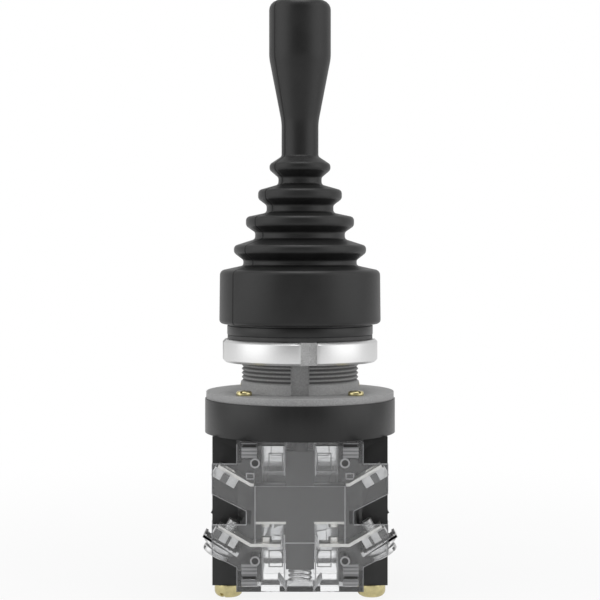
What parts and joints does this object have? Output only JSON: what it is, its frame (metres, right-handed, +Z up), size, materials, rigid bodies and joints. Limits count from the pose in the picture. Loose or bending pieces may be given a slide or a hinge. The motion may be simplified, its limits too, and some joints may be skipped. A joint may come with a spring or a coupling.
{
  "type": "industrial joystick",
  "caption": "Four-way panel joystick switch: lever in a bellows boot, threaded neck with nut, and spring-returned contact units with screw terminals.",
  "frame": {"origin": "centre of the panel seat, on the neck's axis at the underside of the gasket", "axes": "+Z up the lever at rest, -Y to the front contact unit that faces the camera, +X to its right"},
  "size_m": [0.0482, 0.0482, 0.1493],
  "materials": {
    "black_rubber": "matt moulded rubber",
    "black_plastic": "fine matt moulding",
    "grey_casting": "fine grey casting",
    "zinc": "as cast",
    "nut_metal": "satin",
    "white_acetal": "moulded",
    "smoke_clear": "clear smoke grey",
    "smoke_plunger": "dark smoke grey",
    "plated_steel": "bright zinc plate",
    "contact_metal": "silver plate",
    "spring_wire": "drawn wire",
    "steel": "turned",
    "brass": "bright"
  },
  "bodies": {
    "base": {"boot_collar": "black_rubber", "bellows": "black_rubber", "panel_gasket": "black_rubber", "head_housing": "black_plastic", "bezel_ring": "black_plastic", "base_disc": "black_plastic", "left_housing": "black_plastic", "left_lid": "black_plastic", "right_housing": "black_plastic", "right_lid": "black_plastic", "neck_bush": "grey_casting", "pivot_base": "zinc", "panel_nut": "nut_metal", "front_cover": "smoke_clear", "front_base": "smoke_clear", "rear_cover": "smoke_clear", "rear_base": "smoke_clear", "terminal_screws": "plated_steel", "terminal_washers": "plated_steel", "clamp_plates": "plated_steel", "front_terminal_plates": "plated_steel", "rear_terminal_plates": "plated_steel", "left_terminal_screws": "plated_steel", "right_terminal_screws": "plated_steel", "front_contacts": "contact_metal", "rear_contacts": "contact_metal", "right_contacts": "contact_metal", "left_contacts": "contact_metal", "front_return_spring": "spring_wire", "rear_return_spring": "spring_wire", "right_return_spring": "spring_wire", "left_return_spring": "spring_wire", "unit_pins": "steel", "flange_screws": "brass", "housing_screws": "brass"},
    "gimbal": {"pivot_cross": "steel", "lever_pivot_pin": "steel", "base_pivot_pins": "steel"},
    "lever": {"grip_sleeve": "black_rubber", "lever_rod": "steel", "wobble_plate": "white_acetal"},
    "front_drive": {"front_pusher": "white_acetal", "front_plunger": "smoke_plunger", "front_bridge": "contact_metal", "front_contact_spring": "spring_wire"},
    "rear_drive": {"rear_pusher": "white_acetal", "rear_plunger": "smoke_plunger", "rear_bridge": "contact_metal", "rear_contact_spring": "spring_wire"},
    "right_drive": {"right_pusher": "white_acetal", "right_plunger": "smoke_plunger", "right_bridge": "contact_metal", "right_contact_spring": "spring_wire"},
    "left_drive": {"left_pusher": "white_acetal", "left_plunger": "smoke_plunger", "left_bridge": "contact_metal", "left_contact_spring": "spring_wire"}
  },
  "joints": [
    {"name": "tilt_x", "type": "hinge", "parent": "base", "child": "gimbal", "pos_m": [0, 0, 0.009], "axis": [1, 0, 0], "range_deg": [-12, 12], "stiffness_Nm_per_rad": 1, "deforming": ["bellows"]},
    {"name": "tilt_y", "type": "hinge", "parent": "gimbal", "child": "lever", "pos_m": [0, 0, 0.009], "axis": [0, 1, 0], "range_deg": [-12, 12], "stiffness_Nm_per_rad": 1, "deforming": ["bellows"]},
    {"name": "front_push", "type": "slide", "parent": "base", "child": "front_drive", "axis": [0, 0, 1], "range_m": [-0.0021, 0.0021], "stiffness_N_per_m": 200, "deforming": ["front_return_spring"]},
    {"name": "rear_push", "type": "slide", "parent": "base", "child": "rear_drive", "axis": [0, 0, 1], "range_m": [-0.0021, 0.0021], "stiffness_N_per_m": 200, "deforming": ["rear_return_spring"]},
    {"name": "right_push", "type": "slide", "parent": "base", "child": "right_drive", "axis": [0, 0, 1], "range_m": [-0.0021, 0.0021], "stiffness_N_per_m": 200, "deforming": ["right_return_spring"]},
    {"name": "left_push", "type": "slide", "parent": "base", "child": "left_drive", "axis": [0, 0, 1], "range_m": [-0.0021, 0.0021], "stiffness_N_per_m": 200, "deforming": ["left_return_spring"]}
  ],
  "couplings": [
    {"joint": "front_push", "follows": "tilt_x", "m_per_rad": -0.01},
    {"joint": "rear_push", "follows": "tilt_x", "m_per_rad": 0.01},
    {"joint": "right_push", "follows": "tilt_y", "m_per_rad": -0.01},
    {"joint": "left_push", "follows": "tilt_y", "m_per_rad": 0.01}
  ]
}
